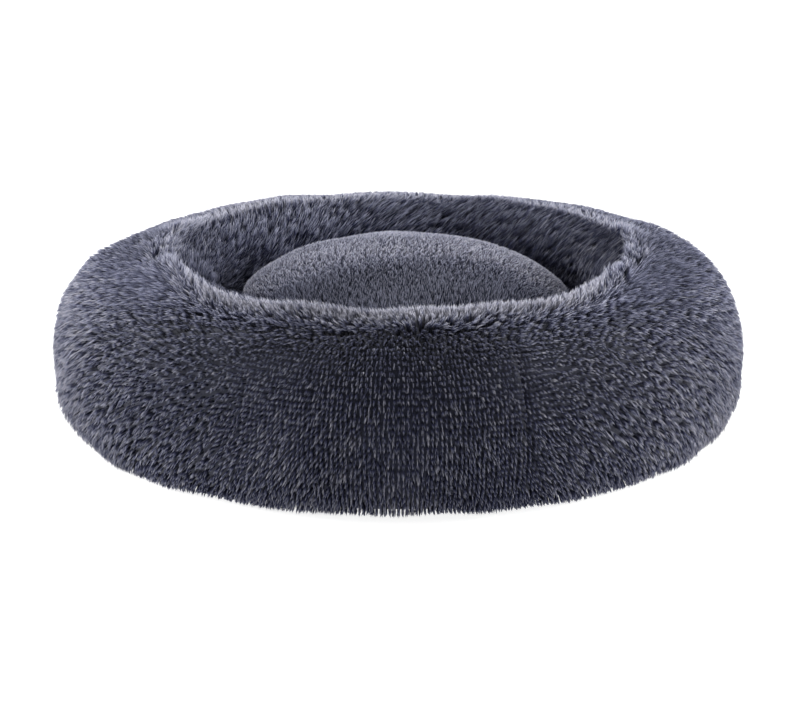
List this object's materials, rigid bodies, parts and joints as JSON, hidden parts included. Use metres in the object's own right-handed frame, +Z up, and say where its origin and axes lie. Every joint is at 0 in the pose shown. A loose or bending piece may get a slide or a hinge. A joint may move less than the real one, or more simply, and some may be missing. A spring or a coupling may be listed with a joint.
{
  "type": "pet cushion bed",
  "caption": "Round bolster bed for a pet: a stuffed faux-fur ring around a loose domed cushion, on a zipped anti-slip base.",
  "frame": {"origin": "centre of the ring on the floor, under the anti-slip dots", "axes": "+Z up, -Y towards the front of the bed, +X to its right, along the zip"},
  "size_m": [0.696, 0.696, 0.1846],
  "materials": {
    "ring_fur": "matte",
    "cushion_fur": "matte",
    "well_fabric": "matte",
    "base_fabric": "matte",
    "binding": "matte",
    "liner": "matte",
    "fibre_fill": "matte",
    "wadding": "matte",
    "dot_plastic": "satin",
    "label": "matte",
    "zip_tape": "matte",
    "zip_coil": "satin",
    "zip_metal": "satin"
  },
  "bodies": {
    "bed": {"left_ring_cover": "ring_fur", "right_ring_cover": "ring_fur", "ring_liner": "liner", "ring_fill": "fibre_fill", "well_floor_panel": "well_fabric", "base_wadding": "wadding", "front_base_panel": "base_fabric", "rear_base_panel": "base_fabric", "base_seam_binding": "binding", "well_seam_binding": "binding", "anti_slip_dots": "dot_plastic", "care_label": "label", "front_zip_tape": "zip_tape", "rear_zip_tape": "zip_tape", "front_zip_coil": "zip_coil", "rear_zip_coil": "zip_coil", "zip_end_stops": "zip_metal"},
    "cushion": {"cushion_top_cover": "cushion_fur", "cushion_bottom_cover": "well_fabric", "cushion_seam_binding": "binding", "cushion_fill": "fibre_fill"},
    "slider": {"zip_slider": "zip_metal"},
    "pull": {"zip_pull": "zip_metal"}
  },
  "joints": [
    {"name": "cushion_lift", "type": "slide", "parent": "bed", "child": "cushion", "axis": [0, 0, 1], "range_m": [0, 0.25]},
    {"name": "zip_travel", "type": "slide", "parent": "bed", "child": "slider", "axis": [1, 0, 0], "range_m": [0, 0.31]},
    {"name": "pull_swing", "type": "hinge", "parent": "slider", "child": "pull", "pos_m": [-0.1562, 0, 0.0044], "axis": [0, 1, 0], "range_deg": [0, 180]}
  ]
}
